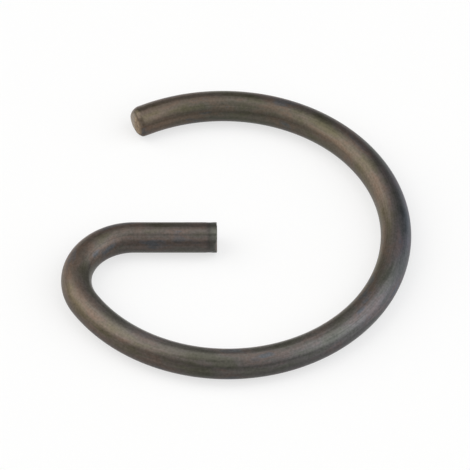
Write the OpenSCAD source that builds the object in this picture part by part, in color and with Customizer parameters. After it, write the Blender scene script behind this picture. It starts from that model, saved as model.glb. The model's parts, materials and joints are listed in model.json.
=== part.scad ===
// Piston pin clip: one length of round spring wire, coiled into an open ring that snaps
// into the groove of a pin bore, with a tang turned in to the ring's centre for pliers.
// Sizes are in millimetres and angles in degrees. The ring's centre is the origin, its
// axis is Z, and the tang points along +X. Every curve of the wire lies in the XY plane.

/* [Wire] */
// Diameter of the round spring wire
wire_d = 1.6; // [1.2:0.1:2]
// Radius of the edge that the cut-off blade rolled over as it entered the wire
cut_roll = 0.3; // [0.1:0.05:0.5]

/* [Ring] */
// Outside diameter of the free ring, before it is squeezed into its groove
ring_od = 19.7; // [17:0.1:24]
// Direction from the centre in which the coiling stops, near the free end
coil_end_at = 115.5; // [95:0.5:138]
// Length of straight wire past the coiling, at the free end
free_straight = 0.65; // [0.5:0.05:1.5]
// Direction from the centre at which the coil draws in slightly, on its way to the bend
lead_from = -30; // [-36:1:-10]
// How much smaller the coil's radius is from there on
lead_inset = 0.3; // [0:0.05:0.5]

/* [Tang] */
// Inside radius of the bend that turns the wire back to the centre
bend_inner_r = 2.2; // [1.7:0.1:2.8]
// Distance of the tang's centreline below the ring's centre
tang_drop = 0.15; // [0:0.05:1]
// Distance that the tang's tip stops short of the ring's centre
tip_short = 0.3; // [0:0.05:2]

/* [Hidden] */
$fn = 96;

wire_r = wire_d / 2;
steel = [0.42, 0.38, 0.34];

// Radii of the wire's centreline in the ring, in the drawn-in lead and in the bend
ring_r = ring_od / 2 - wire_r;
lead_r = ring_r - lead_inset;
bend_r = bend_inner_r + wire_r;

// Where two curves of the wire meet, both their centres and the meeting point lie on one
// line, so that the wire runs on without a kink. The bend's top sets the tang's height.
bend_y = -tang_drop - bend_r;
bend_from = -180 - asin((bend_y - lead_inset * sin(lead_from)) / (lead_r - bend_r));
bend_x = lead_inset * cos(lead_from) + (lead_r - bend_r) * cos(bend_from);

// Angle that the wire turns through in each curve, and the tang's straight length
ring_turn = coil_end_at - lead_from;
lead_turn = lead_from - bend_from;
bend_turn = bend_from + 270;
tang_len = -tip_short - bend_x;

// Size of a block that covers the whole clip
big = 2 * ring_od;

// Overlap where two pieces of wire meet, a nanometre, so that they fuse into one mesh
// whatever the rounding
lap = 0.000001;

// Everything on one side of the XZ plane, and the overlap past it
module half(side) {
    translate([0, side * (big / 2 - lap), 0])
        cube([2 * big, big, big], center = true);
}

// Wire coiled round the origin, anticlockwise from the X axis. It is coiled a little too
// long and trimmed at both ends, so that its end faces are flat and meet the next piece.
module coil(radius, turn) {
    spare = 10;
    intersection() {
        rotate([0, 0, -spare])
            rotate_extrude(angle = turn + 2 * spare)
                translate([radius, 0])
                    circle(d = wire_d);
        half(1);
        rotate([0, 0, turn])
            half(-1);
    }
}

// Side view of a sheared end that points along +X. The blade came in from the side that
// faces -Y and rolled that edge over. The outline starts a little outside the wire, so
// that the roll breaks into the wire's side at an angle. The far edge was torn square.
module sheared_outline(length) {
    outside = wire_r + cut_roll / 30;
    translate([-wire_d, -outside])
        square([wire_d + length - cut_roll, 2 * outside]);
    translate([-wire_d, cut_roll - outside])
        square([wire_d + length, 2 * outside - cut_roll]);
    translate([length - cut_roll, cut_roll - outside])
        circle(r = cut_roll);
}

// Straight wire from the origin along +X, with a sheared end
module sheared_wire(length) {
    intersection() {
        rotate([-90, 0, -90])
            cylinder(d = wire_d, h = length);
        linear_extrude(height = 2 * wire_d, center = true)
            sheared_outline(length);
    }
}

// The wire followed from the place where the lead joins the ring. Each piece is set out
// from the end of the one before: first the ring, anticlockwise to its free end, with
// the blade's side outwards, then the lead, the bend and the tang, clockwise.
module pin_clip() {
    color(steel)
        rotate([0, 0, lead_from]) {
            coil(ring_r, ring_turn);
            rotate([0, 0, ring_turn])
                translate([ring_r, 0, 0])
                    rotate([0, 0, 90])
                        sheared_wire(free_straight);
            translate([lead_inset, 0, 0])
                rotate([0, 0, -lead_turn]) {
                    coil(lead_r, lead_turn);
                    translate([lead_r - bend_r, 0, 0])
                        rotate([0, 0, -bend_turn]) {
                            coil(bend_r, bend_turn);
                            translate([bend_r, 0, 0])
                                rotate([0, 0, -90])
                                    sheared_wire(tang_len);
                        }
                }
        }
}

pin_clip();
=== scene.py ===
"""Piston pin clip: an open ring of oil-tempered spring wire with a tang, lying flat."""
import json
import math

import bpy
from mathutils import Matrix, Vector, noise

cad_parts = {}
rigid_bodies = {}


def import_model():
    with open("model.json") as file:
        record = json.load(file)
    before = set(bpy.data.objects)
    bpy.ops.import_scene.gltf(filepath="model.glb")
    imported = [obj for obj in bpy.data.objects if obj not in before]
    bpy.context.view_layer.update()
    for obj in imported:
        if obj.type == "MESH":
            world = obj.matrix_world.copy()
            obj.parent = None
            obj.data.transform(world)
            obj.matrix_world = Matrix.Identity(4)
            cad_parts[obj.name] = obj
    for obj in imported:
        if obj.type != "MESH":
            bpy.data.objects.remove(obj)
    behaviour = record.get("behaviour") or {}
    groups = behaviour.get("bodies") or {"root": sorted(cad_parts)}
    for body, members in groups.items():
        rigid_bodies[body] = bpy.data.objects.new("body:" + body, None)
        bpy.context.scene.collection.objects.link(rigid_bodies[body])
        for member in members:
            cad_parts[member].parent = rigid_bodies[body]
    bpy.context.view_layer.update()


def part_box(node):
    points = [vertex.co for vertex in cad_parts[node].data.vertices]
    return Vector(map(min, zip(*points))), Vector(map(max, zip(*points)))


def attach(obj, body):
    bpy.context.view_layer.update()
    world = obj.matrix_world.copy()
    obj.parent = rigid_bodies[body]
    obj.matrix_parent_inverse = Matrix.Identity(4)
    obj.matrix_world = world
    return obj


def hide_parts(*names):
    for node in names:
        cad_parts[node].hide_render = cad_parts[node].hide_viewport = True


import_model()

# The wire
# One length of round spring steel, drawn through a die and oil-tempered. It is coiled
# round a former in one plane: tang, bend, a lead drawn in a little, ring, free end.
mm = 0.001
node_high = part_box("pin_clip")[1]
wire_r = node_high.z
ring_r = node_high.x - wire_r
lead_inset = 0.3 * mm
lead_from = math.radians(-30)
bend_r = 2.2 * mm + wire_r
tang_y = -0.15 * mm
tip_x = -0.3 * mm
coil_end_at = math.radians(115.5)
free_len = 0.65 * mm

# Where two curves meet, both centres and the meeting point lie on one line, so that the
# wire runs on without a kink.
lead_r = ring_r - lead_inset
ring_centre = Vector((0, 0, 0))
lead_centre = Vector((math.cos(lead_from), math.sin(lead_from), 0)) * lead_inset
bend_from = math.asin((lead_centre.y + bend_r - tang_y) / (lead_r - bend_r)) - math.pi
bend_outward = Vector((math.cos(bend_from), math.sin(bend_from), 0))
bend_centre = lead_centre + bend_outward * (lead_r - bend_r)
bend_to = math.radians(-270)
tang_tip = Vector((tip_x, tang_y, 0))
tang_heading = Vector((1, 0, 0))
tang_len = tip_x - bend_centre.x
free_outward = Vector((math.cos(coil_end_at), math.sin(coil_end_at), 0))
free_heading = Vector((-math.sin(coil_end_at), math.cos(coil_end_at), 0))
free_start = free_outward * ring_r
free_tip = free_start + free_heading * free_len

# The wire's points lie closest together at its two cut ends, which have the finest shape.
sides = 128
step = 0.125 * mm
fine_step = 0.05 * mm
fine_len = 0.8 * mm
rim_step = 0.015 * mm
rim_len = 0.15 * mm


def straight_steps(run, step_len):
    """Draw the selected ring of points out along a straight run, in short steps."""
    steps = round(run.length / step_len)
    for _ in range(steps):
        bpy.ops.mesh.extrude_region_move(TRANSFORM_OT_translate={"value": run / steps})


def coil_steps(centre, radius, turn):
    """Coil the selected ring of points round a centre, anticlockwise seen from above."""
    steps = round(radius * turn / step)
    bpy.ops.mesh.spin(steps=steps, angle=turn, center=centre, axis=(0, 0, -1))


bpy.ops.object.select_all(action="DESELECT")
bpy.ops.mesh.primitive_circle_add(
    vertices=sides, radius=wire_r, location=tang_tip, rotation=(0, math.pi / 2, 0))
clip = bpy.context.object
clip.name = "spring_wire_clip"
bpy.ops.object.transform_apply(location=True, rotation=True, scale=True)
bpy.ops.object.mode_set(mode="EDIT")
bpy.ops.mesh.select_mode(type="VERT")
bpy.ops.mesh.select_all(action="SELECT")
straight_steps(-tang_heading * rim_len, rim_step)
straight_steps(-tang_heading * (fine_len - rim_len), fine_step)
straight_steps(-tang_heading * (tang_len - fine_len), step)
coil_steps(bend_centre, bend_r, bend_from - bend_to)
coil_steps(lead_centre, lead_r, lead_from - bend_from)
coil_steps(ring_centre, ring_r, coil_end_at - lead_from)
straight_steps(free_heading * (free_len - rim_len), fine_step)
straight_steps(free_heading * rim_len, rim_step)

# The two sheared ends
# A blade cut each end off square. It rolled the near edge over and left a smooth band,
# past which the steel tore away rough, up to a thin burr. The tool nipped the tang too.
# At the tang the blade came from inside the bend.
tang_blade_side = Vector((0, -1, 0))
tang_blunt = 0.05 * mm
tang_roll_r = 0.3 * mm
tang_crown = 0

# At the free end it came from outside and a little above. The rim is rounder there, and
# the face bulges.
free_blade_lift = 0.45
free_blade_side = (free_outward + Vector((0, 0, free_blade_lift))).normalized()
free_blunt = 0.12 * mm
free_roll_r = 0.34 * mm
free_crown = 0.2 * mm

# The roll starts outside the wire by this share of its radius, so that it breaks into the
# wire's side at an angle.
roll_outside = 0.03
band_end = 0.75 * mm
band_fade = 0.2 * mm
tear_depth = 0.05 * mm
tear_grain = 0.22 * mm
# How fast the tear's finer lumps get lower, how much finer each set is, and how many sets
tear_noise = (0.8, 2.2, 4)
burr = 0.025 * mm
burr_width = 0.2 * mm
# How far behind its face an end is shaped
end_reach = 0.75 * mm
nip_at = 0.42 * mm
nip_size = 0.985
nip_reach = 0.26 * mm
# How far off a point may be and still count as on a circle or on the wire
near = 0.01 * mm
around_wire = 1.01 * wire_r


def select_points(wanted):
    """Select only the points of the clip whose places pass a test."""
    bpy.ops.mesh.select_all(action="DESELECT")
    bpy.ops.object.mode_set(mode="OBJECT")
    for point in clip.data.vertices:
        point.select = wanted(point.co)
    bpy.ops.object.mode_set(mode="EDIT")


def close_end(tip, heading, blunt):
    """Close one open end of the wire with a flat face, and give it the bare finish."""
    def select_circle(radius):
        select_points(lambda place: abs((place - tip).dot(heading)) < near
                      and abs((place - tip).length - radius) < near)

    # The face is a grid of small faces, inside one ring of them along the rim.
    rim = blunt + near
    select_circle(wire_r)
    bpy.ops.mesh.edge_face_add()
    bpy.ops.mesh.inset(thickness=rim)
    bpy.ops.mesh.delete(type="ONLY_FACE")
    select_circle(wire_r - rim)
    bpy.ops.mesh.fill_grid(span=sides // 4)
    bpy.ops.mesh.select_more()
    bpy.ops.object.material_slot_assign()


def rise(value, start, width):
    """Rise from 0 to 1 as a value goes from a start over a width."""
    return min(max((value - start) / width, 0), 1)


def shear_end(tip, heading, blade_side, blunt, roll_r, crown):
    """Blunt and crown one end, and draw its points back by what the blade and tear left."""
    for point in clip.data.vertices:
        arm = point.co - tip
        behind = -arm.dot(heading)
        if behind > end_reach or arm.length > end_reach + wire_r:
            continue
        # The rim is blunted to a quarter circle, so its points move in towards the axis.
        from_axis = arm + heading * behind
        inset = blunt - math.sqrt(blunt ** 2 - max(blunt - max(behind, 0), 0) ** 2)
        if from_axis.length > wire_r - inset:
            blunted = from_axis.normalized() * (wire_r - inset)
            point.co += blunted - from_axis
            from_axis = blunted
        # Depth is measured from the blade's side. First comes the roll, then the tear, which
        # lies back by half its depth and its lumps, and last the burr, which stands proud.
        depth = wire_r - from_axis.dot(blade_side)
        rolled = max(roll_r * (1 - roll_outside) - depth, 0)
        back = roll_r - math.sqrt(roll_r ** 2 - rolled ** 2)
        torn = rise(depth, band_end, band_fade)
        lump = noise.fractal(point.co / tear_grain, *tear_noise)
        back += torn * tear_depth * (0.5 + 0.6 * lump)
        lip = rise(depth, 2 * wire_r - burr_width, burr_width)
        back -= lip ** 2 * (burr + torn * tear_depth * 0.5)
        # The crown is nearly flat in the middle, and falls off towards the rim.
        back -= crown * (1 - min(from_axis.length / wire_r, 1) ** 4)
        # Behind the face the move dies out smoothly, so that no point passes another.
        fade = 1 - max(behind, 0) / end_reach
        point.co -= heading * back * fade ** 2 * (3 - 2 * fade)


bpy.ops.object.mode_set(mode="OBJECT")
film = bpy.data.materials.new("oil_tempered_wire")
bare = bpy.data.materials.new("sheared_spring_steel")
clip.data.materials.append(film)
clip.data.materials.append(bare)
clip.active_material_index = 1
bpy.ops.object.mode_set(mode="EDIT")
close_end(tang_tip, tang_heading, tang_blunt)
close_end(free_tip, free_heading, free_blunt)
nip_centre = tang_tip - tang_heading * nip_at
select_points(lambda place: abs(place.x - nip_centre.x) < fine_step / 2
              and (place - nip_centre).length < around_wire)
bpy.ops.transform.resize(
    value=(1, nip_size, nip_size), center_override=nip_centre, use_proportional_edit=True,
    proportional_edit_falloff="SMOOTH", proportional_size=nip_reach)
bpy.ops.mesh.select_all(action="SELECT")
bpy.ops.mesh.normals_make_consistent(inside=False)
bpy.ops.object.mode_set(mode="OBJECT")
shear_end(tang_tip, tang_heading, tang_blade_side, tang_blunt, tang_roll_r, tang_crown)
shear_end(free_tip, free_heading, free_blade_side, free_blunt, free_roll_r, free_crown)

# The finish of the wire
# Drawing left fine lines along it, and tempering in oil a thin dark film of mottled
# brown, olive and blue grey. Both follow the wire, so each point is given its place on
# the straight wire: the distance from the tang's tip, outwards from the coil, and up.


def uncoiled(place):
    """Where a point of the clip lay on the straight wire."""
    along_tang = tip_x - place.x
    in_reach = (place - tang_tip).length < tang_len + wire_r
    if along_tang <= tang_len and in_reach and abs(place.y - tang_y) < around_wire:
        return Vector((along_tang, place.y - tang_y, place.z))
    start = tang_len
    for centre, radius, first, last in (
            (bend_centre, bend_r, bend_to, bend_from),
            (lead_centre, lead_r, bend_from, lead_from),
            (ring_centre, ring_r, lead_from, coil_end_at)):
        arm = place - centre
        turned = (math.atan2(arm.y, arm.x) - first) % (2 * math.pi)
        outwards = math.hypot(arm.x, arm.y) - radius
        if turned <= last - first and abs(outwards) < around_wire:
            return Vector((start + turned * radius, outwards, place.z))
        start += (last - first) * radius
    arm = place - free_start
    return Vector((start + arm.dot(free_heading), arm.dot(free_outward), place.z))


on_wire = clip.data.attributes.new("on_wire", "FLOAT_VECTOR", "POINT")
for point, place in zip(clip.data.vertices, on_wire.data):
    place.vector = uncoiled(point.co)
wire_len = max(place.vector.x for place in on_wire.data)

# The wire is shaded smooth, and only edges that turn by more than this stay sharp.
sharp_from = math.radians(35)
bpy.ops.object.shade_smooth_by_angle(angle=sharp_from)


def linear(code):
    """Turn an sRGB hex colour into linear light."""
    parts = [int(code[i:i + 2], 16) / 255 for i in (1, 3, 5)]
    return [c / 12.92 if c <= 0.04045 else ((c + 0.055) / 1.055) ** 2.4 for c in parts] + [1]


def add_node(material, kind, inputs, stops=None, **settings):
    """Add a shader node, set or link its inputs by name or number, and give its output."""
    node = material.node_tree.nodes.new("ShaderNode" + kind)
    for name, value in settings.items():
        setattr(node, name, value)
    if stops:
        ramp = node.color_ramp
        while len(ramp.elements) < len(stops):
            ramp.elements.new(0.5)
        for stop, (place, colour) in zip(ramp.elements, stops):
            stop.position = place
            stop.color = linear(colour)
    used = [socket for socket in node.inputs if socket.enabled]
    for name, value in inputs.items():
        socket = used[name] if isinstance(name, int) else next(s for s in used if s.name == name)
        if isinstance(value, bpy.types.NodeSocket):
            material.node_tree.links.new(value, socket)
        else:
            socket.default_value = value
    return next((socket for socket in node.outputs if socket.enabled), None)


# Oil-tempered wire, drawn bright and then heated: a thin oxide film on steel. It gives a
# dull, dark metal whose colour drifts in patches, crossed by faint lines along the wire.
film.use_nodes = True
film.node_tree.nodes.clear()
coords = add_node(film, "Attribute", {}, attribute_name="on_wire").node.outputs["Vector"]
along = add_node(film, "SeparateXYZ", {"Vector": coords})
outwards = along.node.outputs["Y"]
upwards = along.node.outputs["Z"]

# The heat coloured each side of the wire by itself, and painted light and shade are laid into
# the same colours. Outside, the film goes from brown over dark and pale grey to deep blue on
# the right, darkened there as painted shade, and to brown again at the free end. Inside, it
# goes from grey over a pale painted highlight a quarter of the way along, olive brown and tan
# to olive at the back, and tan at the free end.
share = add_node(film, "Math", {0: along, 1: wire_len}, operation="DIVIDE")
outer_tint_and_painted_light = add_node(film, "ValToRGB", {"Fac": share}, stops=[
    (0.04, "#594e49"), (0.19, "#6d5b4a"), (0.36, "#474543"), (0.57, "#62656f"),
    (0.65, "#2a3b5c"), (0.76, "#282d38"), (0.97, "#6d5d52")])
inner_tint_and_painted_light = add_node(film, "ValToRGB", {"Fac": share}, stops=[
    (0.06, "#595552"), (0.15, "#514c45"), (0.27, "#929090"), (0.57, "#50462a"),
    (0.68, "#756553"), (0.92, "#4a4b3e"), (0.98, "#675746")])
flank_at = 0.8 * wire_r
flank = add_node(film, "MapRange", {
    "Value": outwards, "From Min": -flank_at, "From Max": flank_at})
# Across the wire the two sides blend, with their painted highlight and shade.
tint_and_painted_light = add_node(film, "Mix", {
    "Factor": flank, "A": inner_tint_and_painted_light, "B": outer_tint_and_painted_light}, data_type="RGBA")

# Thicker and thinner film lies in patches of about a millimetre, stretched along the wire,
# as large as in the photo. Most of a noise pattern lies between the two values below.
noise_low = 0.3
noise_high = 0.7
patch_size = (2.4 * mm, 0.9 * mm, 0.9 * mm)
patch_share = 0.45
patch_at = add_node(film, "VectorMath", {0: coords, 1: patch_size}, operation="DIVIDE")
patches = add_node(film, "TexNoise", {
    "Vector": patch_at, "Scale": 1, "Detail": 3, "Roughness": 0.58})
film_hues = add_node(film, "ValToRGB", {"Fac": patches}, stops=[
    (0.32, "#494c34"), (0.42, "#5f5e4e"), (0.50, "#6a645e"), (0.58, "#77655b"),
    (0.67, "#60666e")])
toned = add_node(film, "Mix", {
    "Factor": patch_share, "A": tint_and_painted_light, "B": film_hues}, data_type="RGBA")
dullness = add_node(film, "MapRange", {
    "Value": patches, "From Min": noise_low, "From Max": noise_high,
    "To Min": 0.36, "To Max": 0.48})

# Real drawing lines and oxide grain are about 0.01 mm wide, too fine for the picture, so
# they are drawn 0.09 and 0.12 mm wide. They vary the film's tone and the surface's height.
line_size = (7 * mm, 0.09 * mm, 0.09 * mm)
line_at = add_node(film, "VectorMath", {0: coords, 1: line_size}, operation="DIVIDE")
lines = add_node(film, "TexNoise", {"Vector": line_at, "Scale": 1, "Detail": 3})
grain_size = 0.12 * mm
grain = add_node(film, "TexNoise", {"Vector": coords, "Scale": 1 / grain_size, "Detail": 4})
line_tone = add_node(film, "MapRange", {
    "Value": lines, "From Min": noise_low, "From Max": noise_high,
    "To Min": 0.86, "To Max": 1.14})
grain_tone = add_node(film, "MapRange", {
    "Value": grain, "From Min": noise_low, "From Max": noise_high,
    "To Min": 0.82, "To Max": 1.18})
fine_tone = add_node(film, "Math", {0: line_tone, 1: grain_tone}, operation="MULTIPLY")
line_bump = add_node(film, "Bump", {"Height": lines, "Distance": 0.006 * mm, "Strength": 0.5})
grain_bump = add_node(film, "Bump", {
    "Height": grain, "Distance": 0.01 * mm, "Strength": 0.4, "Normal": line_bump})

# Painted shade: the film is darker low on the wire's sides than on its top, standing in for
# the shade that falls low on the wire.
dark_below = -0.1 * wire_r
light_above = 0.62 * wire_r
painted_low_shade = add_node(film, "MapRange", {
    "Value": upwards, "From Min": dark_below, "From Max": light_above,
    "To Min": 0.56, "To Max": 1.08})
# The grain's tone is multiplied by the painted shade.
tone = add_node(film, "Math", {0: fine_tone, 1: painted_low_shade}, operation="MULTIPLY")

# Near the tang's tip, by the nip, a grey band is painted highlight, and a dark line where the
# wire is thinnest is painted shade.
tip_band = 0.6 * mm
tip_share = add_node(film, "Math", {0: along, 1: tip_band}, operation="DIVIDE")
tip_highlight_and_shade = add_node(film, "ValToRGB", {"Fac": tip_share}, stops=[
    (0.00, "#65675e"), (0.50, "#5a5b55"), (0.68, "#4b4945"), (0.90, "#5a5452")])
near_tip = add_node(film, "MapRange", {
    "Value": tip_share, "From Min": 1, "From Max": 0.8, "To Max": 0.75})
tipped = add_node(film, "Mix", {
    "Factor": near_tip, "A": toned, "B": tip_highlight_and_shade}, data_type="RGBA")

# The oxide makes the film a little less metallic than clean steel.
# The film's colour here carries its grain and the painted light and shade.
grained_and_painted_light = add_node(film, "VectorMath", {0: tipped, "Scale": tone}, operation="SCALE")
film_shader = add_node(film, "BsdfPrincipled", {
    "Base Color": grained_and_painted_light, "Metallic": 0.85, "Roughness": dullness, "Normal": grain_bump})
add_node(film, "OutputMaterial", {"Surface": film_shader})

# Sheared spring steel, bare of film and gone a little rusty. It is a dull tan brown, dark
# at the rim, with fine, shinier lines where the blade rubbed and a coarser grain where the
# steel tore. The rust makes it less metallic than clean steel.
bare.use_nodes = True
bare.node_tree.nodes.clear()
cut_coords = add_node(bare, "Attribute", {}, attribute_name="on_wire").node.outputs["Vector"]
cut_along = add_node(bare, "SeparateXYZ", {"Vector": cut_coords})
cut_outwards = cut_along.node.outputs["Y"]

# The blade came from inside the bend at the tang, and from outside at the free end. What it
# rubbed smooth passes into the torn steel a little before and after the smooth band's end.
rub_fade = 0.05 * mm
which_end = add_node(bare, "Math", {0: cut_along, 1: wire_len / 2}, operation="SUBTRACT")
blade_way = add_node(bare, "Math", {0: which_end}, operation="SIGN")
towards_blade = add_node(bare, "Math", {0: cut_outwards, 1: blade_way}, operation="MULTIPLY")
rubbed = add_node(bare, "MapRange", {
    "Value": towards_blade, "From Min": wire_r - band_end - band_fade,
    "From Max": wire_r - band_end + rub_fade})

# The torn steel lies in lumps of a fifth of a millimetre.
torn_size = 0.2 * mm
torn_grain = add_node(bare, "TexNoise", {
    "Vector": cut_coords, "Scale": 1 / torn_size, "Detail": 5, "Roughness": 0.65})
rust = add_node(bare, "ValToRGB", {"Fac": torn_grain}, stops=[
    (0.32, "#5c4a3a"), (0.45, "#83705b"), (0.58, "#9d8970"), (0.72, "#b6a488")])
torn_bump = add_node(bare, "Bump", {
    "Height": torn_grain, "Distance": 0.03 * mm, "Strength": 0.6})

# The blade's rub lines are too fine for the picture, so they are drawn 0.05 mm wide.
rub_size = (mm, 1.5 * mm, 0.05 * mm)
rub_at = add_node(bare, "VectorMath", {0: cut_coords, 1: rub_size}, operation="DIVIDE")
rub_lines = add_node(bare, "TexNoise", {"Vector": rub_at, "Scale": 1, "Detail": 3})
rub_tone = add_node(bare, "ValToRGB", {"Fac": rub_lines}, stops=[
    (0.35, "#76685a"), (0.55, "#978a79"), (0.70, "#a99e8f")])
worn = add_node(bare, "Mix", {"Factor": rubbed, "A": rust, "B": rub_tone}, data_type="RGBA")
cut_dullness = add_node(bare, "MapRange", {"Value": rubbed, "To Min": 0.62, "To Max": 0.42})

# The film was drawn over the rim and the rolled edge, and stays there as a dark border.
rim_from = 0.5 * mm
rim_to = 0.75 * mm
roll_from = wire_r - 0.8 * tang_roll_r
roll_to = wire_r - 0.4 * tang_roll_r
across = add_node(bare, "VectorMath", {0: cut_coords, 1: (0, 1, 1)}, operation="MULTIPLY")
from_axis = add_node(bare, "VectorMath", {0: across}, operation="LENGTH").node.outputs["Value"]
at_rim = add_node(bare, "MapRange", {
    "Value": from_axis, "From Min": rim_from, "From Max": rim_to})
rolled_over = add_node(bare, "MapRange", {
    "Value": towards_blade, "From Min": roll_from, "From Max": roll_to})
at_edge = add_node(bare, "Math", {0: at_rim, 1: rolled_over}, operation="MAXIMUM")
edged = add_node(bare, "Mix", {
    "Factor": at_edge, "A": worn, "B": linear("#4f453d")}, data_type="RGBA")
bare_shader = add_node(bare, "BsdfPrincipled", {
    "Base Color": edged, "Metallic": 0.6, "Roughness": cut_dullness, "Normal": torn_bump})
add_node(bare, "OutputMaterial", {"Surface": bare_shader})

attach(clip, "root")
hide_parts("pin_clip")

# The floor
# A sheet of matt white board under the clip, which touches it along the wire's underside.
# It is a backdrop, and no part of the clip.
bpy.ops.mesh.primitive_plane_add(size=3, location=(0, 0, -wire_r))
floor = bpy.context.object
floor.name = "floor"
board = bpy.data.materials.new("white_board")
floor.data.materials.append(board)
board.use_nodes = True
board.node_tree.nodes.clear()

# The eye and the metal see a white board, part of whose light is its own, so that the
# clip's shadow stays faint. For all other light it is plain matt board.
own_light = 0.645
rays = add_node(board, "LightPath", {}).node.outputs
by_eye_or_metal = add_node(board, "Math", {
    0: rays["Is Camera Ray"], 1: rays["Is Glossy Ray"]}, operation="MAXIMUM")
seen = add_node(board, "Math", {
    0: by_eye_or_metal, 1: rays["Is Transmission Ray"]}, operation="MAXIMUM")
matt = add_node(board, "BsdfDiffuse", {"Color": linear("#e7e7e7")})
shaded = add_node(board, "BsdfDiffuse", {"Color": linear("#9d9d9d")})
glow = add_node(board, "Emission", {"Color": (1, 1, 1, 1), "Strength": own_light})
white = add_node(board, "AddShader", {0: shaded, 1: glow})
board_shader = add_node(board, "MixShader", {0: seen, 1: matt, 2: white})
add_node(board, "OutputMaterial", {"Surface": board_shader})

# The camera
# A long lens, a metre away, above and in front of the clip. It stands as far round and as
# high as the photo's camera, and holds the ring's centre at the same place in the picture.
photo_px = 470
px_per_mm = 19.13
ring_centre_px = Vector((222.9, 235.3))
camera_height = math.radians(48.7)
camera_distance = 1.0
towards_camera = Vector((0, -math.cos(camera_height), math.sin(camera_height)))
picture_up = Vector((0, math.sin(camera_height), math.cos(camera_height)))
right_mm = (photo_px / 2 - ring_centre_px.x) / px_per_mm
up_mm = (ring_centre_px.y - photo_px / 2) / px_per_mm
target = Vector((right_mm, 0, 0)) * mm + picture_up * up_mm * mm
camera_data = bpy.data.cameras.new("camera")
camera_data.sensor_width = 36
camera_data.lens = camera_data.sensor_width * camera_distance / (photo_px / px_per_mm * mm)
camera_data.clip_start = 0.1
camera = bpy.data.objects.new("camera", camera_data)
camera.location = target + towards_camera * camera_distance
camera.rotation_euler = (math.pi / 2 - camera_height, 0, 0)
bpy.context.collection.objects.link(camera)
bpy.context.scene.camera = camera

# The studio
# Round softboxes a metre away, overhead and a little behind, at both sides and in front,
# as the light lies on the wire in the photo. The left one is warm and the right one cool.


def softbox(name, turned, height, width, level, colour):
    """Hang a round softbox a metre away, so many degrees round and up, facing the clip."""
    turned = math.radians(turned)
    height = math.radians(height)
    way = Vector((math.sin(turned) * math.cos(height),
                  -math.cos(turned) * math.cos(height), math.sin(height)))
    # The power grows with the area, so that a softbox of any width is as bright as its level.
    area = math.pi * width ** 2 / 4
    data = bpy.data.lights.new(name, "AREA")
    data.shape = "DISK"
    data.size = width
    data.energy = level * math.pi * area
    data.color = colour
    lamp = bpy.data.objects.new(name, data)
    lamp.location = way
    lamp.rotation_euler = way.to_track_quat("Z", "Y").to_euler()
    bpy.context.collection.objects.link(lamp)


softbox("overhead", 180, 76, 0.8, 1.0, (1, 1, 1))
softbox("left_side", -95, 42, 1.3, 1.8, (1.0, 0.98, 0.93))
softbox("right_side", 80, 42, 1.3, 1.7, (0.96, 0.98, 1.0))
softbox("in_front", 0, 42, 0.7, 0.85, (1, 1, 1))

# The room is grey, and nearly white close to the horizon, where the backdrop would rise.
studio = bpy.data.worlds.new("studio")
bpy.context.scene.world = studio
studio.use_nodes = True
studio.node_tree.nodes.clear()
sky_way = add_node(studio, "TexCoord", {})
sky_height = add_node(studio, "SeparateXYZ", {"Vector": sky_way}).node.outputs["Z"]
sky = add_node(studio, "ValToRGB", {"Fac": sky_height}, stops=[
    (0.05, "#f4f4f4"), (0.10, "#6c6c6c")])
air = add_node(studio, "Background", {"Color": sky})
add_node(studio, "OutputWorld", {"Surface": air})
bpy.context.scene.view_settings.view_transform = "Standard"
